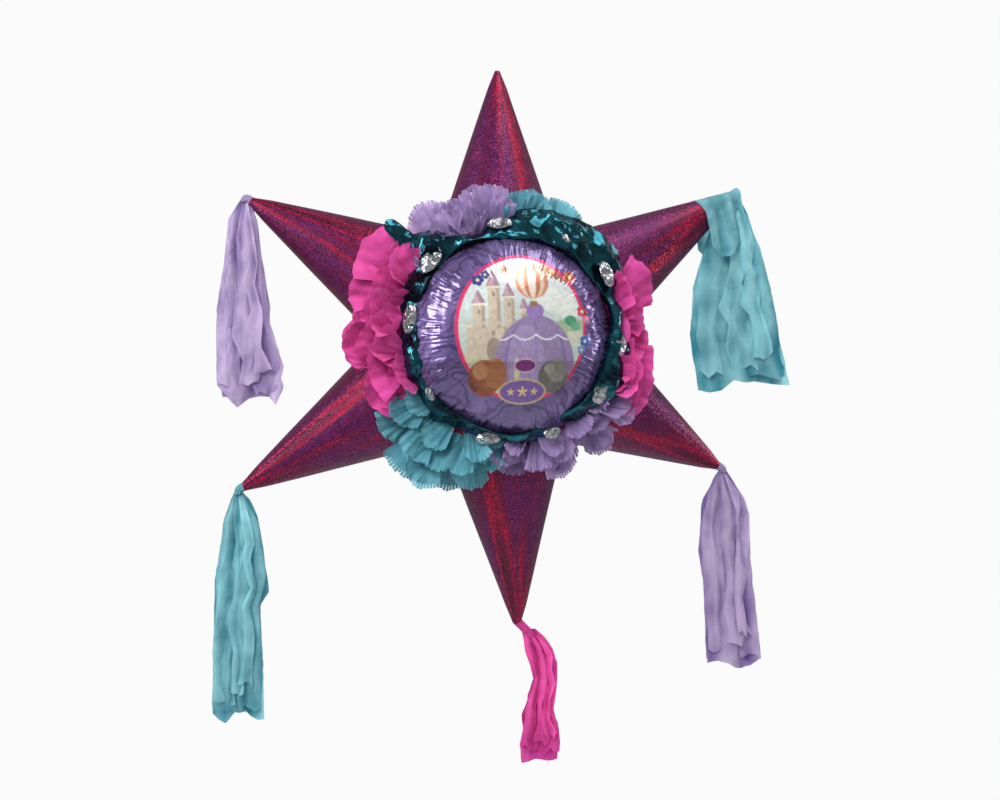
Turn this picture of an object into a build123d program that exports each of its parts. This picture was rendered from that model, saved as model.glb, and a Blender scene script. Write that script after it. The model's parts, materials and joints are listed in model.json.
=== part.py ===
from build123d import *

# Six-pointed star pinata with a foil balloon picture on its front. A hollow paper ball carries
# six card cones wrapped in foil; tissue ruffles, a foil garland and silver ovals ring the
# picture, and a tissue streamer hangs from each cone tip but the top one. It hangs from a wire
# eye behind the top cone, and sweets go in through a flap at the back.
# Frame: +Z up, -Y is the picture side, origin at the centre of the hanging eye. Millimetres.

import os
from math import cos, radians, sin, sqrt

# ---- driving dimensions ----
ball_radius = 256.0
ball_wall = 4.0
foil = 0.3
card = 1.2

eye_back = 70.0  # the eye's centre, behind and above the ball's centre
eye_up = 436.0
eye_radius = 14.0
wire_radius = 1.6

cone_base_angle = 27.9  # half the angle that a cone's base spans on the ball
wrap_hole_angle = 28.15
tab_angle = 24.9
tab_inset = 0.3  # degrees from the cone's outer edge to the tabs' fold
tab_clearance = 0.06
cones = {  # name: (clock angle seen from the front, ball centre to tip, tip radius)
    "top": (88.8, 570.0, 5.0),
    "upper_right": (30.1, 608.0, 8.0),
    "lower_right": (-30.7, 551.0, 8.0),
    "bottom": (-87.3, 591.0, 8.0),
    "lower_left": (-151.0, 597.0, 8.0),
    "upper_left": (150.0, 580.0, 8.0),
}
plug_length = 16.0
plug_gap = 0.15
twist_radius = 1.1  # of the streamer's twisted end, where it leaves the cone

fill_hole_radius = 58.0
flap_radius = 72.0
flap_gap = 0.4
flap_thickness = 1.5
hinge_height = 66.0  # of the flap's hinge line above the ball's centre
hinge_bead_radius = 1.2
hinge_length = 76.0

hanger_polar = 35.0  # where the wire enters the ball, down from its top towards the back
hanger_hole_radius = 2.4
patch_radius = 18.0
patch_thickness = 1.5
crossbar_radius = 6.0
crossbar_length = 100.0
crossbar_depth = 30.0  # below the wire's hole, along the wire
wire_bend = 2.5
wire_tail = 12.0

picture_angle = 49.5  # half the angle that the balloon picture spans on the ball
picture_puff = 11.0
seam_angle = 51.5
seam_thickness = 0.8
picture_film = 0.3
neck_clock = -88.0
neck_half_width = 11.0
neck_angle = 59.0
on_foil = 0.5  # how far the trim stands off the ball's foil

oval_clocks = [136.0, 170.0, -145.0, -104.0, -68.0, -33.0, -5.0, 31.0, 57.0, 94.0]
oval_reach = 214.0
oval_forward = 180.0
oval_lean = 26.0
oval_half_length = 26.0
oval_half_width = 16.0
oval_thickness = 1.6

ruffles = {  # name: (first clock angle, last clock angle)
    "lavender_upper": (87.0, 139.5),
    "teal_upper": (20.5, 86.0),
    "pink_right": (-29.5, 19.5),
    "lavender_lower": (-94.5, -30.5),
    "teal_lower": (-148.5, -95.5),
    "pink_left": (140.5, 210.5),
}
ruffle_layers = {  # name: profile from the ball outwards, as (distance from the axis, forward)
    "outer": [(219, 138.5), (240, 135), (306, 117), (306, 115.8), (240, 133.8), (219, 137.3)],
    "inner": [(214, 149), (232, 148.7), (274, 138), (274, 136.8), (232, 147.5), (214, 147.8)],
}
garland_profile = [(189, 185), (214, 180), (242, 160), (241.4, 159.4), (213.6, 179.2), (189, 184.2)]

knot_radius = 4.0
knot_clearance = 0.35
neck_radius = 4.6
neck_length = 10.0
tissue = 0.4
knots = {  # name: where the knot is from the cone's tip, as (sideways, up)
    "upper_left": (-10.4, 6.0),
    "upper_right": (10.4, 6.0),
    "lower_left": (-10.5, -5.8),
    "lower_right": (10.3, -6.1),
    "bottom": (30.0, -26.0),
}
streamers = {  # name: sections down from the cone's tip, as (drop, sideways, half width)
    "upper_left": [(45, -11, 24), (130, -14, 40), (220, -15, 54), (345, -4, 67), (408, -4, 60)],
    "upper_right": [(60, 12, 22), (120, 8, 50), (185, 2, 78), (290, 2, 99), (418, 14, 103)],
    "lower_left": [(62, -3, 32), (185, -8, 54), (235, -12, 46), (330, -16, 50), (458, -16, 54)],
    "lower_right": [(80, 12, 46), (180, 8, 56), (255, 14, 52), (330, 18, 56), (425, 18, 60)],
    "bottom": [(57, 42, 32), (120, 50, 30), (170, 42, 34), (225, 42, 42), (282, 40, 40)],
}
drape_start = 10.0  # back from the cone's tip
drape_length = 70.0
drape_thickness = 1.0

# ---- the frames that the pieces share ----
star_centre = Vector(0, -eye_back, -eye_up)
front = Vector(0, -1, 0)
front_axis = Axis(star_centre, front)
back_plane = Plane(origin=star_centre, x_dir=(-1, 0, 0), z_dir=(0, 1, 0))
side_plane = Plane(origin=star_centre, x_dir=(0, 1, 0), z_dir=(1, 0, 0))
foil_radius = ball_radius + foil


def clock_direction(clock):
    """Direction from the ball's centre, anticlockwise from the right as seen from the front."""
    return Vector(cos(radians(clock)), 0, sin(radians(clock)))


def cone_plane(clock):
    """The star's own plane, with its x axis along a cone."""
    return Plane(origin=star_centre, x_dir=clock_direction(clock), z_dir=front)


def meridian_plane(clock):
    """The plane through the front axis at a clock angle: x outwards, y forwards."""
    out = clock_direction(clock)
    return Plane(origin=star_centre, x_dir=out, z_dir=out.cross(front))


def on_circle(radius, angle):
    """A sketch point at an angle from the sketch's x axis."""
    return (radius * cos(radians(angle)), radius * sin(radians(angle)))


def from_pole(radius, polar):
    """A meridian-plane point at an angle from the front pole."""
    return (radius * sin(radians(polar)), radius * cos(radians(polar)))


def write(piece, name):
    piece.part.label = name
    export_step(piece.part, f"parts/{name}.step")


# ---- the ball ----
def wire_line():
    """Where the hanger wire enters the ball, and its direction up to the eye."""
    entry = star_centre + Vector(
        0, ball_radius * sin(radians(hanger_polar)), ball_radius * cos(radians(hanger_polar))
    )
    ring_bottom = Vector(0, 0, -eye_radius)
    return entry, (ring_bottom - entry).normalized()


def wire_hole_plane():
    entry, upwards = wire_line()
    return Plane(origin=entry, x_dir=(1, 0, 0), z_dir=upwards)


def make_ball_shell():
    with BuildPart() as ball_shell:
        with Locations(star_centre):
            Sphere(ball_radius)
            Sphere(ball_radius - ball_wall, mode=Mode.SUBTRACT)
        with BuildSketch(back_plane):
            Circle(fill_hole_radius)
        extrude(amount=ball_radius + 10, mode=Mode.SUBTRACT)
        with BuildSketch(wire_hole_plane()):
            Circle(hanger_hole_radius)
        extrude(amount=patch_radius, both=True, mode=Mode.SUBTRACT)
    write(ball_shell, "ball_shell")


def make_ball_foil_wrap():
    """Foil over the ball, open where the cones and the fill hole are."""
    cut_reach = ball_radius + 20
    with BuildPart() as ball_foil_wrap:
        with Locations(star_centre):
            Sphere(foil_radius)
            Sphere(ball_radius, mode=Mode.SUBTRACT)
        for clock, _, _ in cones.values():
            along = clock_direction(clock)
            with BuildSketch(Plane(origin=star_centre, x_dir=front, z_dir=along)):
                Circle(ball_radius * sin(radians(wrap_hole_angle)))
            extrude(amount=cut_reach, mode=Mode.SUBTRACT)
        with BuildSketch(back_plane):
            Circle(fill_hole_radius)
        extrude(amount=cut_reach, mode=Mode.SUBTRACT)
        with BuildSketch(wire_hole_plane()):
            Circle(hanger_hole_radius)
        extrude(amount=patch_radius, both=True, mode=Mode.SUBTRACT)
    write(ball_foil_wrap, "ball_foil_wrap")


# ---- the fill flap at the back ----
def make_fill_flap():
    flap_inner = foil_radius + flap_gap
    flap_outer = flap_inner + flap_thickness
    top_edge = hinge_height - hinge_bead_radius - 1
    with BuildPart() as fill_flap:
        with BuildSketch(back_plane):
            Circle(flap_radius)
            with Locations((0, top_edge + flap_radius / 2)):
                Rectangle(2 * flap_radius, flap_radius, mode=Mode.SUBTRACT)
        extrude(amount=ball_radius + 20)
        with Locations(star_centre):
            Sphere(flap_inner, mode=Mode.SUBTRACT)
            Sphere(flap_outer, mode=Mode.INTERSECT)
    write(fill_flap, "fill_flap")

    with BuildPart() as flap_pull_tab:
        with BuildSketch(back_plane):
            with Locations((0, -75)):
                RectangleRounded(18, 36, 8)
        extrude(amount=ball_radius + 20)
        with Locations(star_centre):
            Sphere(flap_outer, mode=Mode.SUBTRACT)
            Sphere(flap_outer + 0.5, mode=Mode.INTERSECT)
    write(flap_pull_tab, "flap_pull_tab")


def hinge_point():
    """The middle of the flap's hinge line."""
    bead_radial = foil_radius + hinge_bead_radius
    back = sqrt(bead_radial**2 - hinge_height**2)
    return star_centre + Vector(0, back, hinge_height)


def make_flap_hinge_tape():
    tape_height = 20
    with BuildPart() as flap_hinge_tape:
        with BuildSketch(back_plane):
            with Locations((0, hinge_height + tape_height / 2)):
                Rectangle(hinge_length, tape_height)
        extrude(amount=ball_radius + 20)
        with Locations(star_centre):
            Sphere(foil_radius, mode=Mode.SUBTRACT)
            Sphere(foil_radius + flap_gap, mode=Mode.INTERSECT)
        with BuildSketch(Plane(origin=hinge_point(), z_dir=(1, 0, 0))):
            Circle(hinge_bead_radius)
        extrude(amount=hinge_length / 2 - 8, both=True)
        with Locations(star_centre):
            Sphere(foil_radius, mode=Mode.SUBTRACT)
    write(flap_hinge_tape, "flap_hinge_tape")


# ---- the cones ----
def cone_profile(reach, tip_radius, inner, outer):
    """Points of a wall between two offsets outside the card cone's own surface."""
    base = on_circle(ball_radius, cone_base_angle)
    slope = (base[1] - tip_radius) / (reach - base[0])
    start = base[0] - 8
    start_height = base[1] + slope * 8
    return [
        (start, start_height + inner),
        (start, start_height + outer),
        (reach, tip_radius + outer),
        (reach, tip_radius + inner),
    ]


def make_cone(name, clock, reach, tip_radius):
    plane = cone_plane(clock)
    axis = Axis(star_centre, clock_direction(clock))
    with BuildPart() as cone_core:
        with BuildSketch(plane):
            Polygon(*cone_profile(reach, tip_radius, -card, 0), align=None)
            Circle(ball_radius, mode=Mode.SUBTRACT)
        revolve(axis=axis)
        with BuildSketch(plane):  # the glued edge, folded in under the cone
            half_tab = (cone_base_angle - tab_inset - tab_angle) / 2
            tab_end = tab_angle + 2 * half_tab
            under = (ball_radius + tab_clearance) / cos(radians(half_tab))
            over = under + card
            tab_corners = [
                on_circle(under, tab_angle),
                on_circle(over, tab_angle),
                on_circle(over, tab_end),
                on_circle(under, tab_end),
            ]
            Polygon(*tab_corners, align=None)
        revolve(axis=axis)
    write(cone_core, f"cone_core_{name}")

    with BuildPart() as cone_foil:
        with BuildSketch(plane):
            Polygon(*cone_profile(reach, tip_radius, 0, foil), align=None)
            Circle(ball_radius, mode=Mode.SUBTRACT)
        revolve(axis=axis)
    write(cone_foil, f"cone_foil_{name}")


# ---- the hanger ----
def make_hanger():
    entry, upwards = wire_line()
    bar_centre = entry - upwards * crossbar_depth
    wire_end = bar_centre - upwards * (crossbar_radius + wire_bend + 0.1)
    with BuildPart() as hanger_wire:
        with BuildLine():
            FilletPolyline(
                wire_end + Vector(wire_tail, 0, 0),
                wire_end,
                Vector(0, 0, -eye_radius),
                radius=wire_bend,
            )
        with BuildSketch(Plane(origin=wire_end + Vector(wire_tail, 0, 0), z_dir=(-1, 0, 0))):
            Circle(wire_radius)
        sweep()
        with Locations(Plane.XZ):
            Torus(eye_radius, wire_radius)
    write(hanger_wire, "hanger_wire")

    with BuildPart() as hanger_crossbar:
        with BuildSketch(Plane(origin=bar_centre, z_dir=(1, 0, 0))):
            Circle(crossbar_radius)
        extrude(amount=crossbar_length / 2, both=True)
        with BuildSketch(Plane(origin=bar_centre, x_dir=(1, 0, 0), z_dir=upwards)):
            Circle(wire_radius + 0.1)
        extrude(amount=crossbar_radius * 2, both=True, mode=Mode.SUBTRACT)
    write(hanger_crossbar, "hanger_crossbar")

    outwards = (entry - star_centre).normalized()
    with BuildPart() as hanger_patch:
        with BuildSketch(Plane(origin=star_centre, x_dir=(1, 0, 0), z_dir=outwards)):
            Circle(patch_radius)
        extrude(amount=ball_radius + 20)
        with Locations(star_centre):
            Sphere(foil_radius, mode=Mode.SUBTRACT)
            Sphere(foil_radius + patch_thickness, mode=Mode.INTERSECT)
        with BuildSketch(wire_hole_plane()):
            Circle(hanger_hole_radius)
        extrude(amount=patch_radius, both=True, mode=Mode.SUBTRACT)
    write(hanger_patch, "hanger_patch")


# ---- the picture balloon ----
def make_picture():
    bed = foil_radius + on_foil
    meridian = meridian_plane(0)
    with BuildPart() as picture_balloon:
        with BuildSketch(meridian):
            with BuildLine():
                bottom = CenterArc((0, 0), bed, 90 - picture_angle, picture_angle)
                rim = from_pole(bed + seam_thickness, picture_angle)
                shoulder = from_pole(bed + picture_puff * 0.75, picture_angle * 0.6)
                top = ThreePointArc((0, bed + picture_puff), shoulder, rim)
                Line(bottom @ 0, rim)
                Line(bottom @ 1, top @ 0)
            make_face()
            offset(amount=-picture_film, mode=Mode.SUBTRACT)  # the air inside
        revolve(axis=front_axis)
    write(picture_balloon, "picture_balloon")

    with BuildPart() as balloon_seam:
        with BuildSketch(meridian):
            with BuildLine():
                start = 90 - seam_angle
                size = seam_angle - picture_angle - 0.1
                inner = CenterArc((0, 0), bed, start, size)
                outer = CenterArc((0, 0), bed + seam_thickness, start, size)
                Line(inner @ 0, outer @ 0)
                Line(inner @ 1, outer @ 1)
            make_face()
        revolve(axis=front_axis)
    write(balloon_seam, "balloon_seam")

    with BuildPart() as balloon_neck:
        neck_start = bed * sin(radians(seam_angle + 0.2))
        neck_end = bed * sin(radians(neck_angle))
        outline = Plane(origin=star_centre, x_dir=clock_direction(neck_clock), z_dir=front)
        with BuildSketch(outline):
            with Locations(((neck_start + neck_end) / 2 + 1, 0)):
                Rectangle(neck_end - neck_start, 2 * neck_half_width)
        extrude(amount=ball_radius)
        with Locations(star_centre):
            Sphere(bed, mode=Mode.SUBTRACT)
            Sphere(bed + seam_thickness, mode=Mode.INTERSECT)
    write(balloon_neck, "balloon_neck")


# ---- the soft trim round the picture ----
def make_garland():
    with BuildPart() as foil_garland:
        with BuildSketch(meridian_plane(0)):
            Polygon(*garland_profile, align=None)
        revolve(axis=front_axis)
    write(foil_garland, "foil_garland")


def make_silver_ovals():
    with BuildPart() as silver_ovals:
        for clock in oval_clocks:
            out = clock_direction(clock)
            normal = out * sin(radians(oval_lean)) + front * cos(radians(oval_lean))
            middle = star_centre + out * oval_reach + front * oval_forward
            along = out.cross(front)
            with BuildSketch(Plane(origin=middle, x_dir=along, z_dir=normal)):
                Ellipse(oval_half_length, oval_half_width)
            extrude(amount=oval_thickness)
    write(silver_ovals, "silver_ovals")


def make_ruffles():
    for colour, (first, last) in ruffles.items():
        for layer, profile in ruffle_layers.items():
            with BuildPart() as ruffle:
                with BuildSketch(meridian_plane(first)):
                    Polygon(*profile, align=None)
                revolve(axis=front_axis, revolution_arc=last - first)
            write(ruffle, f"ruffle_{layer}_{colour}")


# ---- the streamers ----
def cone_tip(name):
    clock, reach, _ = cones[name]
    return star_centre + clock_direction(clock) * reach


def knot_centre(name):
    sideways, up = knots[name]
    return cone_tip(name) + Vector(sideways, 0, up)


def half_depth(half_width):
    return 8 + 0.25 * half_width


def plug_profile(name):
    """Half the section of a plug that fills a cone's mouth."""
    _, reach, tip_radius = cones[name]
    mouth = tip_radius - card - plug_gap
    slope = (ball_radius * sin(radians(cone_base_angle)) - tip_radius) / reach
    inner_end = reach - plug_length
    Polygon(
        (inner_end, 0),
        (inner_end, mouth + slope * plug_length),
        (reach, mouth),
        (reach, 0),
        align=None,
    )


def make_tip_plugs():
    """The foil pinched shut at the top, and the twisted streamer ends glued in the other tips."""
    for name, (clock, _, _) in cones.items():
        axis = Axis(star_centre, clock_direction(clock))
        with BuildPart() as tip_plug:
            with BuildSketch(cone_plane(clock)):
                plug_profile(name)
            revolve(axis=axis)
            if name in knots:
                away = Vector(-1 if knots[name][0] > 0 else 1, 0, 1).normalized()
                twist_end = knot_centre(name) + away * (knot_radius + knot_clearance + twist_radius)
                root = cone_tip(name) - clock_direction(clock) * 2 * twist_radius
                run = twist_end - root
                with BuildSketch(Plane(origin=root, z_dir=run.normalized())):
                    Circle(twist_radius)
                extrude(amount=run.length)
        write(tip_plug, f"streamer_twist_{name}" if name in knots else f"tip_plug_{name}")


def bunch_sections(name, shrink, extra_drop):
    """The oval sections of a bunch of tissue, below its neck."""
    sections = []
    last_drop = streamers[name][-1][0]
    for drop, sideways, half_width in streamers[name]:
        level = drop + (extra_drop if drop == last_drop else 0)
        with BuildSketch(Plane(origin=cone_tip(name) + Vector(sideways, 0, -level))) as section:
            Ellipse(half_width - shrink, half_depth(half_width) - shrink)
        sections.append(section.sketch)
    return sections


def make_streamer(name):
    centre = knot_centre(name)
    with BuildPart() as streamer_knot:
        with Locations(centre):
            Sphere(knot_radius)
    write(streamer_knot, f"streamer_knot_{name}")

    outside = bunch_sections(name, 0, 0)
    last_drop, last_sideways, _ = streamers[name][-1]
    with BuildPart() as hollow:  # in two halves, with one pleat left standing between them
        loft(bunch_sections(name, tissue, 1), ruled=True)
        with Locations(cone_tip(name) + Vector(last_sideways, 0, -last_drop / 2)):
            Box(tissue, 2 * half_depth(120), 2 * last_drop, mode=Mode.SUBTRACT)

    with BuildPart() as streamer:
        with BuildSketch(Plane(origin=centre - Vector(0, 0, 1), z_dir=(0, 0, -1))):
            Circle(neck_radius)
        extrude(amount=neck_length)
        with BuildSketch(Plane(origin=centre - Vector(0, 0, neck_length))) as neck:
            Circle(neck_radius)
        loft([neck.sketch, outside[0]], ruled=True)
        loft(outside, ruled=True)
        add(hollow.part, mode=Mode.SUBTRACT)
        with Locations(centre):
            Sphere(knot_radius + knot_clearance, mode=Mode.SUBTRACT)
    write(streamer, f"streamer_{name}")


def make_drape():
    """Tissue folded over the tip that carries the widest streamer."""
    clock, reach, tip_radius = cones["upper_right"]
    base = on_circle(ball_radius, cone_base_angle)
    slope = (base[1] - tip_radius) / (reach - base[0])
    skin = tip_radius + foil + 0.3 + slope * drape_start
    outer_end = reach - drape_start
    inner_end = outer_end - drape_length
    with BuildPart() as streamer_drape:
        with BuildSketch(cone_plane(clock)):
            Polygon(
                (inner_end, skin + slope * drape_length),
                (inner_end, skin + slope * drape_length + drape_thickness),
                (outer_end, skin + drape_thickness),
                (outer_end, skin),
                align=None,
            )
        revolve(axis=Axis(star_centre, clock_direction(clock)))
    write(streamer_drape, "streamer_drape")


os.makedirs("parts", exist_ok=True)
make_ball_shell()
make_ball_foil_wrap()
make_fill_flap()
make_flap_hinge_tape()
for cone_name, (cone_clock, cone_reach, cone_tip_radius) in cones.items():
    make_cone(cone_name, cone_clock, cone_reach, cone_tip_radius)
make_tip_plugs()
make_hanger()
make_picture()
make_garland()
make_silver_ovals()
make_ruffles()
for streamer_name in streamers:
    make_streamer(streamer_name)
make_drape()
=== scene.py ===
import json
from math import cos, pi, radians, sin

import bpy
import numpy as np
from mathutils import Matrix, Vector, noise


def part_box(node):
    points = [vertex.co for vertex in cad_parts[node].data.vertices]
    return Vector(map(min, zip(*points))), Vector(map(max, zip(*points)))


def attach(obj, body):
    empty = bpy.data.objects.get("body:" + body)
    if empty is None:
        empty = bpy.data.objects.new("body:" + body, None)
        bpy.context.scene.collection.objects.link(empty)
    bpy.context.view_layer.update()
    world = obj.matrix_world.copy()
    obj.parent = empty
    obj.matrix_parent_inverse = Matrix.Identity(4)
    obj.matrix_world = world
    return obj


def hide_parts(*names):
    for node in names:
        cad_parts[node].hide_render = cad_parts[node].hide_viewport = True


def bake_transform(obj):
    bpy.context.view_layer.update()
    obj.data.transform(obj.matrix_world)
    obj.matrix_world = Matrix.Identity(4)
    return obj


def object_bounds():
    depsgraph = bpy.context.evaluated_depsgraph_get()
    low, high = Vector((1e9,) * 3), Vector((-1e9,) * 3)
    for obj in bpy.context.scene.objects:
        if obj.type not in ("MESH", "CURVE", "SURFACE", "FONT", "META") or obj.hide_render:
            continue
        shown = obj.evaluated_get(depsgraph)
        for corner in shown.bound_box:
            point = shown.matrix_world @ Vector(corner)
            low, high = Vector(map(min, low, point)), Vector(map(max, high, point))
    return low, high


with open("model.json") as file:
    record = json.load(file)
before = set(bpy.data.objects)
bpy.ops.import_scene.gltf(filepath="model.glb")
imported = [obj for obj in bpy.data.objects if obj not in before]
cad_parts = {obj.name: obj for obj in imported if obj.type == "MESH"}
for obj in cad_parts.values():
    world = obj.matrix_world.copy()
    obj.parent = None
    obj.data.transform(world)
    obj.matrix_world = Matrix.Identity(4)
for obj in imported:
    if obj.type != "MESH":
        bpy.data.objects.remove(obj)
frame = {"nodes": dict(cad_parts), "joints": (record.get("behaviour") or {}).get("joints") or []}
cad_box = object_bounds()

# Six-pointed star pinata: foil cones on a wrapped ball, a foil picture in a garland and
# tissue ruffles, and tissue streamers. Metres, in the CAD's frame: -Y is the picture side.
# Shapes are worked out about the ball's centre, the star centre, and moved there at the end.

ball_low, ball_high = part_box("ball_shell")
R = (ball_high.x - ball_low.x) / 2
star = np.array([(ball_low.x + ball_high.x) / 2, ball_low.y + R, (ball_low.z + ball_high.z) / 2])
MM = 0.001
FRONT = np.array([0.0, -1.0, 0.0])

CONES = {  # name: clock angle in degrees, centre to tip and tip radius in metres
    "top": (88.8, 0.570, 0.005),
    "upper_right": (30.1, 0.608, 0.008),
    "lower_right": (-30.7, 0.551, 0.008),
    "bottom": (-87.3, 0.591, 0.008),
    "lower_left": (-151.0, 0.597, 0.008),
    "upper_left": (150.0, 0.580, 0.008),
}
CONE_BASE = 27.9  # degrees between a cone's axis and its base, at the ball's centre
BASE_U, BASE_R = R * cos(radians(CONE_BASE)), R * sin(radians(CONE_BASE))  # along and across it
SKIN = 0.6 * MM  # how far a cone's foil stands off its card core
PICTURE_ANGLE = 49.5  # degrees from the front to the picture's rim, at the ball's centre
PICTURE_PUFF = 0.011
FILL_HOLE = 0.058  # radius of the hole in the ball's back

knot_at = {}
for joint in frame["joints"]:
    if joint["name"].endswith("_swing"):
        knot_at[joint["name"][:-6]] = np.array(joint["pos_m"]) - star


# ---- small tools ----
def direction(clock):
    """From the star's centre outwards, anticlockwise from the right as seen from the front."""
    return np.array([cos(radians(clock)), 0.0, sin(radians(clock))])


def smoothstep(low, high, x):
    t = np.clip((np.asarray(x, float) - low) / (high - low), 0, 1)
    return t * t * (3 - 2 * t)


def zigzag(x):
    """A wave of flat flanks between fold lines, from -1 to 1."""
    sharp = 0.96  # at 1 the folds would be knife-sharp
    return np.arcsin(sharp * np.sin(x)) / np.arcsin(sharp)


def around(table, clock):
    """Smooth values, from a table by clock angle, read at other angles, all the way round."""
    c, v = np.array(sorted(table.items()), float).T
    c = np.concatenate([c - 360, c, c + 360])
    v = np.tile(v, 3)
    at = (np.asarray(clock, float) + 180) % 360 - 180
    i = np.clip(np.searchsorted(c, at) - 1, 0, len(c) - 2)
    t = (at - c[i]) / (c[i + 1] - c[i])
    t = t * t * (3 - 2 * t)
    return v[i] * (1 - t) + v[i + 1] * t


def soft_noise(points, scale, seed=0.0, octaves=3):
    """Fractal noise from about -1 to 1 at each point."""
    shift = Vector((seed * 7.31, seed * 3.17, seed * 5.71))
    flat = np.asarray(points, float).reshape(-1, 3) * scale
    found = [noise.fractal(Vector(p) + shift, 1.0, 2.0, octaves) for p in flat]
    return np.array(found).reshape(np.shape(points)[:-1])


def facets(points, scale, seed=0.0):
    """Flat facets with sharp creases between them, from about -0.5 to 0.5."""
    shift = Vector((seed * 5.13, seed * 9.77, seed * 2.39))
    flat = np.asarray(points, float).reshape(-1, 3) * scale
    found = [
        noise.voronoi(Vector(p) + shift, distance_metric="MANHATTAN")[0][0] for p in flat
    ]
    return np.array(found).reshape(np.shape(points)[:-1]) - 0.6


def spokes(phi, side):
    """Directions round an axis: from the front, at 0, towards side."""
    return np.cos(phi)[..., None] * FRONT + np.sin(phi)[..., None] * side


def upright(r, angle, y):
    """Places at a radius and an angle, in radians, as seen from the front, and at a depth y."""
    return np.stack([r * np.cos(angle), y + 0 * r, r * np.sin(angle)], axis=-1)


def grid_faces(rows, cols, closed=False, first=0):
    """Quads over a grid of rows by cols points; closed joins the last column to the first."""
    across = cols if closed else cols - 1
    i = np.arange(rows - 1)[:, None] * cols
    j = np.arange(across)[None, :]
    k = (j + 1) % cols
    quads = np.stack([i + j, i + k, i + cols + k, i + cols + j], axis=-1)
    return quads.reshape(-1, 4) + first


def link(thing):
    bpy.context.scene.collection.objects.link(thing)
    return thing


def make_piece(name, points, faces, attributes=(), smooth=True):
    """A mesh piece from points about the star's centre."""
    mesh = bpy.data.meshes.new(name)
    points = np.asarray(points, float).reshape(-1, 3) + star
    mesh.from_pydata([tuple(p) for p in points], [], [tuple(int(i) for i in f) for f in faces])
    for key, values in dict(attributes).items():
        values = np.asarray(values, float)
        if values.ndim == 1:
            layer = mesh.attributes.new(key, "FLOAT", "POINT")
            layer.data.foreach_set("value", values.astype(np.float32))
        elif key == "print_and_painted_reflection":
            layer = mesh.attributes.new(key, "FLOAT_COLOR", "POINT")
            rgba = np.concatenate([values, np.ones((len(values), 1))], axis=1)
            layer.data.foreach_set("color", rgba.astype(np.float32).ravel())
        else:
            layer = mesh.attributes.new(key, "FLOAT_VECTOR", "POINT")
            layer.data.foreach_set("vector", values.astype(np.float32).ravel())
    mesh.update()
    if smooth:
        mesh.shade_smooth()
    return link(bpy.data.objects.new(name, mesh))


def finish_piece(piece, body, material, slot, *replaced):
    piece.data.materials.append(material)
    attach(piece, body)
    if replaced:
        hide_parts(*replaced)
    return piece


# ---- materials ----
def new_material(name, roughness=0.5, metallic=0.0):
    material = bpy.data.materials.new(name)
    material.use_nodes = True
    tree = material.node_tree
    shader = tree.nodes["Principled BSDF"]
    shader.inputs["Roughness"].default_value = roughness
    shader.inputs["Metallic"].default_value = metallic
    return material, tree, shader


def add_node(tree, kind, **inputs):
    """A shader node. p_ starts a property's name, i an input's number, and the rest are inputs'
    names. Properties come first in a call, because they change the inputs."""
    node = tree.nodes.new(kind)
    for key, value in inputs.items():
        if key.startswith("p_"):
            setattr(node, key[2:], value)
        else:
            put(tree, node.inputs[int(key[1:])] if key[1:].isdigit() else node.inputs[key], value)
    return node


def put(tree, socket, value):
    """Links an output to a socket, or sets the socket's value."""
    if isinstance(value, bpy.types.NodeSocket):
        tree.links.new(value, socket)
    else:
        socket.default_value = (*value, 1) if socket.type == "RGBA" and len(value) == 3 else value


def grey(value):
    return (value, value, value)


def ramp(tree, factor, stops):
    """A colour ramp: stops are (place, (r, g, b))."""
    node = add_node(tree, "ShaderNodeValToRGB", Fac=factor)
    elements = node.color_ramp.elements
    while len(elements) < len(stops):
        elements.new(0.5)
    for element, (place, colour) in zip(elements, stops):
        element.position = place
        element.color = (*colour, 1)
    return node.outputs["Color"]


def mix_colour(tree, factor, a, b, blend="MIX"):
    node = tree.nodes.new("ShaderNodeMix")
    node.data_type = "RGBA"
    node.blend_type = blend
    for i, value in ((0, factor), (6, a), (7, b)):
        put(tree, node.inputs[i], value)
    return node.outputs[2]


def texture_noise(tree, vector, scale, detail=3.0, roughness=0.5, distortion=0.0):
    node = add_node(
        tree,
        "ShaderNodeTexNoise",
        Vector=vector,
        Scale=scale,
        Detail=detail,
        Roughness=roughness,
        Distortion=distortion,
    )
    return node.outputs["Fac"]


def object_coordinates(tree):
    return tree.nodes.new("ShaderNodeTexCoord").outputs["Object"]


def attribute(tree, name, output):
    return add_node(tree, "ShaderNodeAttribute", p_attribute_name=name).outputs[output]


def bump(tree, shader, height, strength, distance):
    node = add_node(tree, "ShaderNodeBump", Height=height, Strength=strength, Distance=distance)
    put(tree, shader.inputs["Normal"], node.outputs["Normal"])


def vector_math(tree, operation, **inputs):
    return add_node(tree, "ShaderNodeVectorMath", p_operation=operation, **inputs).outputs["Vector"]


def show(tree, surface):
    tree.links.new(surface, tree.nodes["Material Output"].inputs["Surface"])


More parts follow.
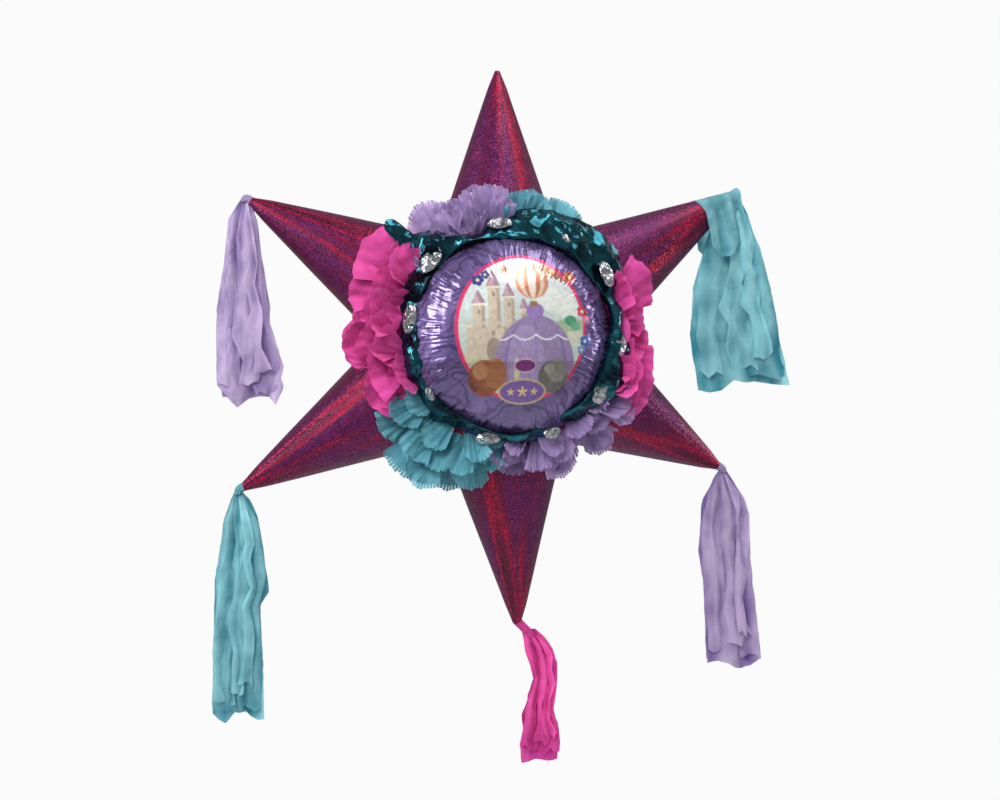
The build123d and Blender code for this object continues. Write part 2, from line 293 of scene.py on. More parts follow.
def holographic_foil(name, stretch=None, seed=0):
    """Plum foil with lengthwise bands of crimson and violet, partly its own colour and partly
    painted highlights, and fine square glitter with painted glints. stretch names the attribute
    that the bands follow, or is None for foil with no direction."""
    material, tree, shader = new_material(name, roughness=0.40, metallic=0.62)
    place = object_coordinates(tree)
    # painted highlights: the crimson and violet bands are partly the foil's own colour and partly
    # highlights painted along the cones, where the stretch attribute leads them
    if stretch:
        along = attribute(tree, stretch, "Vector")
        bands = texture_noise(tree, along, 1.25 + 0.1 * seed, 2.5, 0.55, 0.25)
    else:
        bands = texture_noise(tree, place, 7.0, 3.0, 0.55, 0.6)
    colour = ramp(
        tree,
        bands,
        [
            (0.30, (0.075, 0.008, 0.026)),
            (0.40, (0.130, 0.008, 0.045)),
            (0.47, (0.300, 0.008, 0.050)),
            (0.53, (0.135, 0.010, 0.055)),
            (0.62, (0.105, 0.012, 0.095)),
            (0.72, (0.180, 0.010, 0.055)),
        ],
    )
    cells = add_node(tree, "ShaderNodeTexVoronoi", Vector=place, Scale=520.0)
    # glitter: cells of random brightness, and the brightest, redder and above any real colour, are
    # painted glints
    glitter_and_painted_glints = ramp(
        tree,
        add_node(tree, "ShaderNodeSeparateColor", Color=cells.outputs["Color"]).outputs["Red"],
        [(0.0, grey(0.45)), (0.70, grey(0.95)), (0.9, (2.6, 1.5, 1.5))],
    )
    worn = texture_noise(tree, place, 38.0, 4.0, 0.6)
    worn_tone = ramp(tree, worn, [(0.35, grey(0.86)), (0.65, grey(1.12))])
    colour = mix_colour(tree, 0.85, colour, glitter_and_painted_glints, "MULTIPLY")
    colour = mix_colour(tree, 1.0, colour, worn_tone, "MULTIPLY")
    put(tree, shader.inputs["Base Color"], colour)
    rough = ramp(tree, worn, [(0.3, grey(0.33)), (0.7, grey(0.50))])
    put(tree, shader.inputs["Roughness"], rough)
    tilt = vector_math(tree, "SUBTRACT", i0=cells.outputs["Color"], i1=grey(0.5))
    lean = vector_math(tree, "SCALE", i0=tilt, Scale=0.34)
    fine = add_node(
        tree,
        "ShaderNodeBump",
        Height=texture_noise(tree, place, 60.0, 5.0, 0.6),
        Strength=0.35,
        Distance=0.0012,
    )
    leant = vector_math(tree, "ADD", i0=fine.outputs["Normal"], i1=lean)
    put(tree, shader.inputs["Normal"], vector_math(tree, "NORMALIZE", i0=leant))
    return material


def tissue_paper(name, deep, light, through=0.30):
    """Thin matte tissue: the colour deepens where the tone attribute says that it is folded
    or lies in shade, fine crepe lines and mottling, and light comes through it."""
    material, tree, shader = new_material(name, roughness=0.82)
    shader.inputs["Specular IOR Level"].default_value = 0.25
    shader.inputs["Sheen Weight"].default_value = 0.12
    place = object_coordinates(tree)
    tone_and_shade = attribute(tree, "tone_and_shade", "Fac")
    mottle = texture_noise(tree, place, 55.0, 5.0, 0.65)
    mixed = add_node(
        tree, "ShaderNodeMath", p_operation="MULTIPLY_ADD", i0=mottle, i1=0.5, i2=tone_and_shade
    )
    shade = add_node(tree, "ShaderNodeMath", p_operation="SUBTRACT", i0=mixed.outputs[0], i1=0.25)
    colour = ramp(tree, shade.outputs[0], [(0.0, deep), (1.0, light)])
    fibres = texture_noise(tree, place, 900.0, 2.0, 0.6)
    fibre_tone = ramp(tree, fibres, [(0.3, grey(0.93)), (0.7, grey(1.05))])
    colour = mix_colour(tree, 1.0, colour, fibre_tone, "MULTIPLY")
    put(tree, shader.inputs["Base Color"], colour)
    creases = texture_noise(tree, place, 120.0, 6.0, 0.7, 0.8)
    bump(tree, shader, creases, 0.5, 0.0012)
    glow = add_node(tree, "ShaderNodeBsdfTranslucent", Color=colour)
    joined = add_node(
        tree, "ShaderNodeMixShader", Fac=through, i1=shader.outputs[0], i2=glow.outputs[0]
    )
    show(tree, joined.outputs[0])
    return material


def plain_foil(name, dark, light, roughness, scale):
    """Crumpled metallised film or foil: mirror-like, with painted reflections that make it darker
    and lighter from fold to fold.
    """
    material, tree, shader = new_material(name, roughness=roughness, metallic=0.95)
    place = object_coordinates(tree)
    # painted reflections: the colour runs from dark to light in patches, as crumpled mirror film
    # reflects a dark room and bright lights
    patches = texture_noise(tree, place, scale, 5.0, 0.65, 0.5)
    colour = ramp(tree, patches, [(0.36, dark), (0.66, light)])
    put(tree, shader.inputs["Base Color"], colour)
    wrinkles = texture_noise(tree, place, scale * 3.0, 3.0, 0.5, 0.6)
    ridged = ramp(tree, wrinkles, [(0.35, grey(1)), (0.5, grey(0)), (0.65, grey(1))])
    bump(tree, shader, ridged, 0.10, 0.002)
    return material


def printed_foil(name):
    """The picture's printed film, from its painted colours, which carry a painted dark reflection
    across the lower part, under a clear glossy face.
    """
    material, tree, shader = new_material(name, roughness=0.20, metallic=0.55)
    place = object_coordinates(tree)
    paint = attribute(tree, "print_and_painted_reflection", "Color")
    border = attribute(tree, "border", "Fac")
    swirl_place = add_node(tree, "ShaderNodeTexNoise", Vector=place, Scale=22.0, Detail=1.0)
    swirl = swirl_place.outputs["Color"]
    bent = vector_math(tree, "MULTIPLY_ADD", i0=swirl, i1=grey(0.07), i2=place)
    rings = add_node(
        tree,
        "ShaderNodeTexWave",
        p_wave_type="RINGS",
        Vector=bent,
        Scale=15.0,
        Distortion=9.0,
        Detail=0.0,
    )
    swirls = ramp(tree, rings.outputs["Fac"], [(0.22, (0.60, 0.55, 0.66)), (0.34, grey(1))])
    swirled = mix_colour(tree, 1.0, paint, swirls, "MULTIPLY")
    patchy = texture_noise(tree, place, 9.0, 3.0, 0.55)
    patches = ramp(tree, patchy, [(0.35, (0.62, 0.60, 0.66)), (0.65, (1.12, 1.10, 1.12))])
    colour = mix_colour(tree, border, paint, mix_colour(tree, 1.0, swirled, patches, "MULTIPLY"))
    put(tree, shader.inputs["Base Color"], colour)
    wrinkles = texture_noise(tree, place, 75.0, 4.0, 0.6, 0.7)
    bump(tree, shader, wrinkles, 0.28, 0.0016)
    shader.inputs["Coat Weight"].default_value = 0.5
    shader.inputs["Coat Roughness"].default_value = 0.05
    return material


def fibrous(name, dark, light, roughness, stretch=(1, 1, 1), scale=60.0):
    """Card, wood or pulp: fibres drawn out along one way, in two tones."""
    material, tree, shader = new_material(name, roughness=roughness)
    place = object_coordinates(tree)
    drawn = vector_math(tree, "MULTIPLY", i0=place, i1=stretch)
    grain = texture_noise(tree, drawn, scale, 6.0, 0.65, 0.4)
    colour = ramp(tree, grain, [(0.32, dark), (0.68, light)])
    put(tree, shader.inputs["Base Color"], colour)
    bump(tree, shader, grain, 0.45, 0.0006)
    return material


def papier_mache(name):
    """Overlapping torn strips of printed grey paper and dried paste."""
    material, tree, shader = new_material(name, roughness=0.88)
    place = object_coordinates(tree)
    strips = add_node(tree, "ShaderNodeTexVoronoi", Vector=place, Scale=26.0)
    strip = add_node(tree, "ShaderNodeSeparateColor", Color=strips.outputs["Color"])
    colour = ramp(
        tree, strip.outputs["Red"], [(0.0, (0.42, 0.37, 0.29)), (1.0, (0.66, 0.61, 0.51))]
    )
    fleck = texture_noise(tree, place, 420.0, 3.0, 0.6)
    flecks = ramp(tree, fleck, [(0.36, grey(0.62)), (0.52, grey(1))])
    colour = mix_colour(tree, 1.0, colour, flecks, "MULTIPLY")
    put(tree, shader.inputs["Base Color"], colour)
    edges = add_node(
        tree,
        "ShaderNodeTexVoronoi",
        p_feature="DISTANCE_TO_EDGE",
        Vector=place,
        Scale=26.0,
    )
    bump(tree, shader, edges.outputs["Distance"], 0.6, 0.003)
    return material


def galvanised_wire(name):
    material, tree, shader = new_material(name, roughness=0.38, metallic=1.0)
    place = object_coordinates(tree)
    spangle = texture_noise(tree, place, 260.0, 3.0, 0.6)
    colour = ramp(tree, spangle, [(0.35, (0.32, 0.33, 0.34)), (0.65, (0.62, 0.63, 0.64))])
    put(tree, shader.inputs["Base Color"], colour)
    bump(tree, shader, spangle, 0.25, 0.0003)
    return material


def satin_ribbon(name):
    material, tree, shader = new_material(name, roughness=0.32)
    shader.inputs["Sheen Weight"].default_value = 0.4
    place = object_coordinates(tree)
    threads = add_node(
        tree, "ShaderNodeTexWave", p_bands_direction="X", Vector=place, Scale=900.0
    )
    colour = ramp(
        tree, threads.outputs["Fac"], [(0.0, (0.16, 0.07, 0.30)), (1.0, (0.34, 0.20, 0.52))]
    )
    put(tree, shader.inputs["Base Color"], colour)
    bump(tree, shader, threads.outputs["Fac"], 0.3, 0.0003)
    return material


cone_foil = {
    name: holographic_foil(f"foil_plum_cone_{name}", "wrap", i) for i, name in enumerate(CONES)
}
wrap_foil = holographic_foil("foil_plum_wrap")
TISSUES = {
    "lavender": tissue_paper("tissue_lavender", (0.12, 0.080, 0.23), (0.46, 0.33, 0.60)),
    "teal": tissue_paper("tissue_teal", (0.020, 0.13, 0.18), (0.17, 0.48, 0.57)),
    "pink": tissue_paper("tissue_pink", (0.30, 0.010, 0.14), (0.86, 0.11, 0.43)),
}
HUNG_PAINTED_LIGHTER = {  # the streamers' tissue is one sheet deep, so more light comes through; its colours are painted lighter too, for that light
    "lavender": tissue_paper("tissue_lavender_hung", (0.24, 0.165, 0.40), (0.66, 0.54, 0.76), 0.5),
    "teal": tissue_paper("tissue_teal_hung", (0.045, 0.27, 0.35), (0.36, 0.73, 0.78), 0.5),
    "pink": tissue_paper("tissue_pink_hung", (0.45, 0.014, 0.22), (0.95, 0.13, 0.49), 0.4),
}
# each film's range from its dark colour to its light one is painted reflection
teal_foil = plain_foil("foil_teal", (0.008, 0.016, 0.024), (0.030, 0.190, 0.240), 0.14, 17.0)
silver_foil = plain_foil("foil_silver", (0.20, 0.21, 0.22), (0.72, 0.74, 0.75), 0.16, 50.0)
bare_film = plain_foil("foil_silver_film", (0.30, 0.30, 0.34), (0.55, 0.55, 0.60), 0.25, 40.0)
picture_print = printed_foil("picture_foil")
seam_film = plain_foil("picture_seam_film", (0.10, 0.06, 0.22), (0.24, 0.17, 0.42), 0.24, 40.0)


# ---- cones ----
def cone_skin(name, seed):
    """Foil rolled round a cone: an overlapping seam, faint dents and creases that run to the
    tip, and a cut edge that turns out on to the ball."""
    clock, reach, tip_radius = CONES[name]
    axis = direction(clock)
    side = np.cross(axis, FRONT)
    cols, rows, edge_rows = 256, 110, 5
    phi = np.linspace(0, 2 * pi, cols, endpoint=False)
    t = np.linspace(0, 1, rows)[:, None]
    u = reach + (BASE_U - reach) * t + 0 * phi
    radius = tip_radius + (BASE_R - tip_radius) * t + 0 * phi
    loop = np.stack([np.cos(phi) + 0 * t, np.sin(phi) + 0 * t, u * 3.2], axis=-1)
    dents = (0.5 + 0.5 * np.clip(soft_noise(loop, 1.1, seed + 1, 2), -1, 1)) * 2.2 * MM
    creases = (0.45 - np.abs(soft_noise(loop * [2.6, 2.6, 0.55], 1.0, seed + 3, 3))) * 1.1 * MM
    creases = np.clip(creases, 0, None)
    seam = radians(40 + 67 * seed) + 0.55 * (1 - t)
    past_seam = ((phi - seam) % (2 * pi)) / (2 * pi)
    overlap = 1.1 * MM * (1 - past_seam) ** 2
    taper = smoothstep(0, 0.12, t) * (1 - 0.6 * smoothstep(0.93, 1.0, t))
    radius = radius + SKIN + (dents + creases + overlap) * taper

    ring = spokes(phi, side)
    body = axis * u[..., None] + ring * radius[..., None]
    ragged = 0.55 + 1.9 * np.abs(np.cos(phi)) ** 1.5
    circle = np.stack([np.cos(phi), np.sin(phi), phi * 0], -1)
    ragged = ragged * (0.75 + 0.5 * soft_noise(circle, 6, seed))
    step = np.linspace(0.15, 1, edge_rows)[:, None]
    polar = np.radians(CONE_BASE + 0.1 + ragged * step)
    lift = R + (1.3 - 0.5 * step + 0 * phi) * MM
    edge = (
        axis * (lift * np.cos(polar))[..., None] + ring * (lift * np.sin(polar))[..., None]
    )
    points = np.concatenate([body, edge], axis=0)
    total = rows + edge_rows
    wrap = np.concatenate([loop, np.repeat(loop[-1:], edge_rows, 0)], axis=0) * [1, 1, 0.35]
    cap = len(points.reshape(-1, 3))
    flat = np.concatenate([points.reshape(-1, 3), [axis * (reach + SKIN)]])
    wrap_flat = np.concatenate([wrap.reshape(-1, 3), [wrap[0, 0]]])
    faces = [tuple(f) for f in grid_faces(total, cols, closed=True)]
    if name == "top":
        faces += [((j + 1) % cols, j, cap) for j in range(cols)]
    else:
        flat, wrap_flat = flat[:-1], wrap_flat[:-1]
    piece = make_piece(f"cone_skin_{name}", flat, faces, {"wrap": wrap_flat})
    return finish_piece(piece, "star", cone_foil[name], "foil_plum", f"cone_foil_{name}")


# ---- the ball's wrap ----
def ball_wrap():
    """Creased foil over the ball, smooth where the flap and its tape lie on it."""
    cols, rows = 340, 190
    hole = np.degrees(np.arcsin(FILL_HOLE / R))
    polar = np.radians(np.linspace(hole, 133, rows))[:, None]
    phi = np.linspace(0, 2 * pi, cols, endpoint=False)
    normal = np.stack(
        [np.sin(polar) * np.cos(phi), np.cos(polar) + 0 * phi, np.sin(polar) * np.sin(phi)], -1
    )
    rough = smoothstep(radians(21), radians(30), polar)
    hanger = Vector((0, sin(radians(35)), cos(radians(35))))
    near_hanger = np.arccos(np.clip(normal @ np.array(hanger), -1, 1))
    rough = rough * smoothstep(radians(4.5), radians(7), near_hanger)
    folds = np.abs(soft_noise(normal, 5.5, 2, 4))
    height = (0.25 + rough * (2.6 * (0.45 - np.minimum(folds, 0.45)) ** 1.5 * 2)) * MM
    points = normal * (R + height)[..., None]
    piece = make_piece("ball_wrap", points, grid_faces(rows, cols, closed=True))
    return finish_piece(piece, "star", wrap_foil, "foil_plum", "ball_foil_wrap")


# ---- the picture ----
def disc_grid(size):
    """A square grid bent into a disc of radius 1, with cells of nearly even size."""
    a, b = np.meshgrid(np.linspace(-1, 1, size), np.linspace(-1, 1, size))
    wide = np.abs(a) > np.abs(b)
    r = np.where(wide, a, b)
    safe_a, safe_b = np.where(a == 0, 1e-9, a), np.where(b == 0, 1e-9, b)
    angle = np.where(wide, pi / 4 * b / safe_a, pi / 2 - pi / 4 * a / safe_b)
    return r * np.cos(angle), r * np.sin(angle)


def paint_picture(x, z):
    """A castle garden in a pink-edged oval on purple, painted at places in millimetres from
    the oval's centre, with a painted dark reflection across its lower part. Returns the colours
    and where the purple border is."""
    colour = np.empty(x.shape + (3,))
    colour[:] = (0.18, 0.125, 0.32)
    soft = 0.9

    def lay(mask, rgb):
        m = np.clip(mask, 0, 1)[..., None]
        colour[:] = colour * (1 - m) + np.array(rgb) * m

    def inside(distance):
        return np.clip(0.5 - distance / (2 * soft), 0, 1)

    def ellipse(cx, cz, a, b):
        return inside((np.hypot((x - cx) / a, (z - cz) / b) - 1) * min(a, b))

    def block(x0, x1, z0, z1):
        return inside(np.maximum(np.maximum(x0 - x, x - x1), np.maximum(z0 - z, z - z1)))

    def roof(cx, half, z0, height):
        return inside(np.maximum(np.abs(x - cx) - half * (1 - (z - z0) / height), z0 - z))

    def wave(scale, seed):
        return np.sin(x / scale + seed) * np.cos(z / scale * 1.3 - seed * 2)

    outer = np.hypot(x / 184, z / 184)
    lay(0.55 * smoothstep(0.62, 1.0, outer), (0.26, 0.19, 0.44))
    lay(0.45 * np.clip(z / 160, 0, 1), (0.17, 0.12, 0.27))
    rim, plaque = ellipse(0, 0, 125, 138), ellipse(-2, -118, 45, 24)
    lay(rim, (0.80, 0.045, 0.17))
    oval = ellipse(0, 0, 118, 131)
    lay(oval, (0.62, 0.74, 0.66))
    sky = oval * smoothstep(-20, 110, z + 4 * wave(17, 1.0))
    lay(sky, (0.80, 0.86, 0.88))
    for cx, cz, a, b in ((62, 52, 40, 22), (88, 34, 26, 16), (-84, 96, 30, 14)):
        lay(oval * ellipse(cx, cz, a, b) * 0.85, (0.93, 0.94, 0.86))
    lay(oval * ellipse(96, -6, 46, 22), (0.44, 0.58, 0.36))
    lay(oval * ellipse(-60, -92, 96, 52), (0.66, 0.62, 0.42))

    stone, shade, light = (0.72, 0.60, 0.46), (0.42, 0.32, 0.27), (0.86, 0.80, 0.66)
    for x0, x1, z0, z1 in (
        (-104, -8, -52, 6), (-92, -70, 0, 46), (-64, -42, 0, 78),
        (-36, -16, 0, 58), (-6, 8, -20, 34),
    ):
        lay(oval * block(x0, x1, z0, z1), stone)
        lay(oval * block(x1 - (x1 - x0) * 0.3, x1, z0, z1) * 0.6, shade)
        lay(oval * block(x0 - 2, x1 + 2, z1 - 4, z1), light)
        lay(oval * ellipse((x0 + x1) / 2, z1 - 16, 3, 5), shade)
    for cx, half, z0, height in (
        (-81, 13, 46, 26), (-53, 13, 78, 34), (-26, 12, 58, 28), (1, 9, 34, 22)
    ):
        lay(oval * roof(cx, half, z0, height), (0.44, 0.27, 0.34))
        lay(oval * roof(cx - half * 0.3, half * 0.5, z0, height * 0.9), (0.62, 0.42, 0.46))
    for i in range(7):
        lay(oval * block(-104 + i * 14, -97 + i * 14, 6, 12), stone)
    lay(oval * ellipse(-56, -40, 13, 22), shade)

    lay(oval * ellipse(92, 12, 13, 10), (0.10, 0.36, 0.20))
    lay(oval * ellipse(102, 2, 10, 8), (0.16, 0.46, 0.28))
    lay(oval * block(84, 120, -34, -8), (0.70, 0.72, 0.56))
    tent = ellipse(22, -70, 76, 92) * smoothstep(-142, -138, z)
    lay(oval * tent, (0.37, 0.27, 0.47))
    tent_half = 76 * np.sqrt(np.clip(1 - ((z + 70) / 92) ** 2, 0.05, 1))
    ribs = np.abs(np.sin((x - 22) / tent_half * 4.2))
    lay(oval * tent * (ribs < 0.14) * 0.5, (0.20, 0.13, 0.38))
    lay(oval * tent * ellipse(4, -62, 34, 66) * 0.45, (0.52, 0.40, 0.68))
    trim = np.abs(z + 14 + 9 * np.abs(np.sin((x - 22) / 13.5))) < 1.6
    lay(oval * tent * trim, (0.90, 0.87, 0.94))
    lay(ellipse(22, 30, 17, 15), (0.36, 0.24, 0.54))
    for k, rgb in enumerate(
        ((0.72, 0.30, 0.18), (0.86, 0.62, 0.46), (0.60, 0.22, 0.14), (0.93, 0.78, 0.64))
    ):
        lay(oval * ellipse(20, 88, 33 - 8.5 * k, 35), rgb)
    lay(oval * block(13, 27, 38, 48), (0.42, 0.20, 0.10))
    for cx, cz, size in ((52, 112, 13), (66, 104, 15), (82, 98, 14), (92, 88, 10), (-30, 110, 9)):
        angle = np.arctan2(z - cz, x - cx)
        leaf = size * (0.75 + 0.25 * np.cos(7 * angle + cx))
        lay(oval * inside(np.hypot(x - cx, z - cz) - leaf), (0.40, 0.12, 0.05))
        lay(oval * ellipse(cx - 3, cz + 3, size * 0.4, size * 0.35) * 0.7, (0.64, 0.27, 0.12))

    for cx, cz, size, rgb in (
        (-80, 90, 8, (0.06, 0.07, 0.28)),
        (-66, 100, 6, (0.08, 0.10, 0.36)),
        (98, 96, 9, (0.62, 0.14, 0.05)),
        (118, 30, 8, (0.62, 0.07, 0.12)),
        (126, 14, 6, (0.78, 0.26, 0.40)),
        (122, -26, 8, (0.06, 0.17, 0.50)),
        (114, -42, 6, (0.16, 0.34, 0.62)),
    ):
        for k in range(5):
            petal_x, _, petal_z = size * 0.85 * direction(72 * k)
            lay(ellipse(cx + petal_x, cz + petal_z, size * 0.62, size * 0.62), rgb)
        lay(ellipse(cx, cz, size * 0.4, size * 0.4), (0.90, 0.80, 0.50))

    for cx, cz, a, b, rgb in (
        (-72, -92, 30, 34, (0.30, 0.08, 0.03)),
        (-52, -84, 20, 28, (0.42, 0.15, 0.06)),
        (-80, -78, 14, 16, (0.54, 0.24, 0.11)),
        (56, -92, 30, 30, (0.16, 0.15, 0.13)),
        (64, -80, 20, 22, (0.30, 0.28, 0.24)),
        (48, -76, 10, 10, (0.40, 0.38, 0.33)),
        (-14, -78, 5, 22, (0.72, 0.70, 0.42)),
    ):
        blur = 1 + 0.12 * wave(5, cx)
        lay(ellipse(cx, cz, a, b) * np.clip(blur, 0, 1), rgb)
    lay(ellipse(2, -70, 21, 13), (0.80, 0.55, 0.74))
    lay(ellipse(2, -70, 19, 11), (0.24, 0.03, 0.20))
    lay(plaque, (0.72, 0.55, 0.22))
    lay(ellipse(-2, -118, 42, 21), (0.22, 0.11, 0.40))
    for cx, size in ((-24, 7), (-2, 10), (20, 7)):
        angle = np.arctan2(z + 118, x - cx)
        star_edge = size * (0.62 + 0.38 * np.cos(5 * (angle - pi / 2)))
        lay(inside(np.hypot(x - cx, z + 118) - star_edge), (0.86, 0.68, 0.24))
    border = 1 - np.clip(rim + plaque, 0, 1)
    grain = soft_noise(np.stack([x, z, 0 * x], -1), 0.16, 8, 3)
    colour *= (1 + 0.16 * grain)[..., None]
    # painted reflection: everything more than about 62 mm below the oval's centre is 30% darker, as
    # the glossy film reflects a darker room there
    colour *= (1 - 0.30 * smoothstep(61, 64, -z))[..., None]
    return colour, border


def picture():
    """The balloon's face: puffed film that puckers towards its rim."""
    size = 300
    a, b = disc_grid(size)
    rn = np.hypot(a, b)
    phi = np.arctan2(b, a)
    polar = np.radians(PICTURE_ANGLE) * rn
    loop = np.stack([np.cos(phi), np.sin(phi), rn * 0.9], axis=-1)
    puckers = np.abs(soft_noise(loop * [9.0, 9.0, 1.6], 1.6, 3, 3))
    pucker_depth = smoothstep(0.42, 0.92, rn) * (1 - 0.75 * smoothstep(0.985, 1.0, rn))
    flat = np.stack([a, b, 0 * a], axis=-1)
    creases = np.abs(soft_noise(flat * [1.0, 0.45, 1.0], 4.5, 5, 3)) * smoothstep(0.25, 0.8, rn)
    height = PICTURE_PUFF * (1 - rn**2) ** 0.8 + 1.4 * MM
    height = height + (4.2 * pucker_depth * (0.35 - puckers) - 2.2 * creases) * MM
    height = np.maximum(height, 0.9 * MM)
    radius = R + height
    x = radius * np.sin(polar) * np.cos(phi)
    z = radius * np.sin(polar) * np.sin(phi)
    y = -radius * np.cos(polar)
    colour, border = paint_picture(x / MM - 12, z / MM - 10)
    points = np.stack([x, y, z], axis=-1)
    piece = make_piece(
        "picture_film",
        points,
        grid_faces(size, size)[:, ::-1],
        {"print_and_painted_reflection": colour.reshape(-1, 3), "border": border.ravel()},
    )
    return finish_piece(piece, "star", picture_print, "picture_foil", "picture_balloon")


# ---- the garland and its ovals ----
GARLAND_EDGE = {  # clock: outer radius
    133: 0.268, 110: 0.205, 92: 0.238, 77: 0.249, 58: 0.262, 45: 0.268, 30: 0.262, 18: 0.223,
    2: 0.231, -12: 0.241, -31: 0.255, -46: 0.230, -60: 0.205, -78: 0.210, -93: 0.218, -113: 0.206,
    -134: 0.224, -156: 0.221, -176: 0.214, 166: 0.224, 150: 0.228,
}


def garland_surface(clock, across, lift=0.0):
    """A place on the garland: across goes from its inner edge, 0, to its outer edge, 1."""
    outer = around(GARLAND_EDGE, clock)
    inner = 0.1855 + 0.005 * np.sin(np.radians(clock * 3 + 40))
    inner = inner + 0.003 * np.sin(np.radians(clock * 7))
    r = inner + (outer - inner) * across
    hump = np.sin(pi * np.clip(across, 0, 1)) * 0.010
    y = -(0.183 - 0.030 * across - 0.010 * across**2 + hump + lift)
    c = np.radians(clock)
    return np.stack([r * np.cos(c) + 0.006, y, r * np.sin(c) + 0.004], axis=-1)


def garland():
    """A strip of mirror film crushed into a ring, with facets, creases and rolled edges."""
    cols, rows = 620, 46
    clock = np.linspace(-180, 180, cols, endpoint=False)[None, :]
    across = np.linspace(-0.12, 1.08, rows)[:, None]
    clock_all, across_all = clock + 0 * across, across + 0 * clock
    points = garland_surface(clock_all, np.clip(across_all, 0, 1))
    under = np.clip(-across_all, 0, 1) + np.clip(across_all - 1, 0, 1)
    points[..., 1] += under * 0.09
    coarse = 0.35 - np.abs(soft_noise(points, 12, 1, 1))
    fine = 0.30 - np.abs(soft_noise(points, 34, 2, 1))
    waves = facets(points, 12, 4)
    edge = smoothstep(-0.1, 0.1, across_all)
    points[..., 1] -= (0.030 * coarse + 0.0055 * fine + 0.018 * waves) * edge
    c = np.radians(clock_all)
    push = 0.006 * soft_noise(points, 30, 7, 3) * smoothstep(0.1, 0.6, across_all)
    points[..., 0] += push * np.cos(c)
    points[..., 2] += push * np.sin(c)

    # a stray end of the strip, curled out between two ruffles
    tail_rows, tail_cols = 14, 22
    s = np.linspace(-1, 1, tail_cols)[None, :]
    t = np.linspace(0, 1, tail_rows)[:, None]
    tail_clock = np.radians(135.5 + (4.2 - 1.6 * t) * s)
    tail_r = 0.245 + 0.080 * t - 0.010 * t * s**2
    tail_y = -0.140 + 0.012 * t - 0.010 * (1 - s**2) * t
    tail = upright(tail_r, tail_clock, tail_y)
    tail[..., 1] -= 0.009 * soft_noise(tail, 40, 5, 2)
    every = np.concatenate([points.reshape(-1, 3), tail.reshape(-1, 3)])
    faces = np.concatenate(
        [
            grid_faces(rows, cols, closed=True),
            grid_faces(tail_rows, tail_cols, first=rows * cols),
        ]
    )
    piece = make_piece("garland_foil", every, faces)
    return finish_piece(piece, "star", teal_foil, "foil_teal", "foil_garland")


OVALS = [  # clock, radius, half length along the ring, half width across it, turn in degrees
    (136, 0.209, 0.029, 0.017, -12),
    (170, 0.194, 0.028, 0.015, 0),
    (-145, 0.190, 0.014, 0.009, 12),
    (-104, 0.201, 0.024, 0.014, -16),
    (-68, 0.203, 0.018, 0.012, 10),
    (-33, 0.210, 0.024, 0.020, 0),
    (-5, 0.216, 0.027, 0.015, 8),
    (31, 0.224, 0.027, 0.015, 12),
    (57, 0.218, 0.018, 0.012, -14),
    (94, 0.215, 0.024, 0.013, 4),
]
OVAL_LEAN = radians(26)  # outwards from the front


def silver_ovals():
    """Pebbles of crushed silver foil pressed on the garland."""
    size = 26
    a, b = disc_grid(size)
    rn = np.hypot(a, b)
    points, faces = [], []
    for i, (clock, radius, half_length, half_width, turn) in enumerate(OVALS):
        forward = garland_surface(np.array(float(clock)), 0.5, 0.007)[1]
        out = direction(clock)
        middle = out * radius + np.array([0.0, forward, 0.0])
        along = np.cross(out, FRONT)
        normal = out * sin(OVAL_LEAN) + FRONT * cos(OVAL_LEAN)
        slope = np.cross(along, normal)
        twist = radians(turn)
        turned = cos(twist) * along + sin(twist) * slope
        other = cos(twist) * slope - sin(twist) * along
        wobble = 1 + 0.12 * soft_noise(np.stack([a, b, 0 * a + i * 3.1], -1), 1.3, i, 2)
        dome = np.sqrt(np.clip(1 - rn**2, 0, 1)) * 0.006
        local = (
            middle
            + (a * half_length * wobble)[..., None] * turned
            + (b * half_width * wobble)[..., None] * other
        )
        crush = (0.0052 * facets(local, 62, i) + 0.0016 * facets(local, 130, i)) * (1 - 0.5 * rn**3)
        local = local + (dome + crush)[..., None] * normal
        faces.append(grid_faces(size, size, first=len(points) * size * size)[:, ::-1])
        points.append(local.reshape(-1, 3))
    piece = make_piece("oval_foils", np.concatenate(points), np.concatenate(faces), smooth=False)
    return finish_piece(piece, "star", silver_foil, "foil_silver", "silver_ovals")


# ---- ruffles ----
RUFFLE_EDGE = {  # clock: outer radius
    138: 0.294, 122: 0.302, 108: 0.298, 90: 0.310, 74: 0.302, 60: 0.306, 45: 0.284, 30: 0.282,
    18: 0.322, 8: 0.290, -8: 0.304, -26: 0.314, -40: 0.300, -54: 0.290, -70: 0.311, -90: 0.286,
    -104: 0.282, -116: 0.330, -130: 0.344, -145: 0.300, -158: 0.292, -170: 0.322, 176: 0.332,
    162: 0.310, 150: 0.326,
}
SECTORS = {  # name: first clock, last clock, fringe length
    "lavender_upper": (87.0, 139.5, 0.011),
    "teal_upper": (27.0, 88.0, 0.009),
    "pink_right": (-29.5, 20.5, 0.0),
    "lavender_lower": (-94.5, -29.0, 0.013),
    "teal_lower": (-148.5, -93.0, 0.013),
    "pink_left": (140.5, 211.5, 0.0),
}
LAYERS = {  # name: (inner radius, share of the ruffle's radius, forward, curl forward, spacing)
    "outer": [(0.205, 0.99, 0.114, 0.000, 10.0), (0.205, 0.94, 0.127, 0.016, 12.0)],
    "inner": [(0.200, 0.875, 0.143, 0.024, 12.0), (0.196, 0.81, 0.158, 0.026, 15.0)],
}
STRIPS = 15
MAIN_ROWS = 22
FRINGE_ROWS = 4


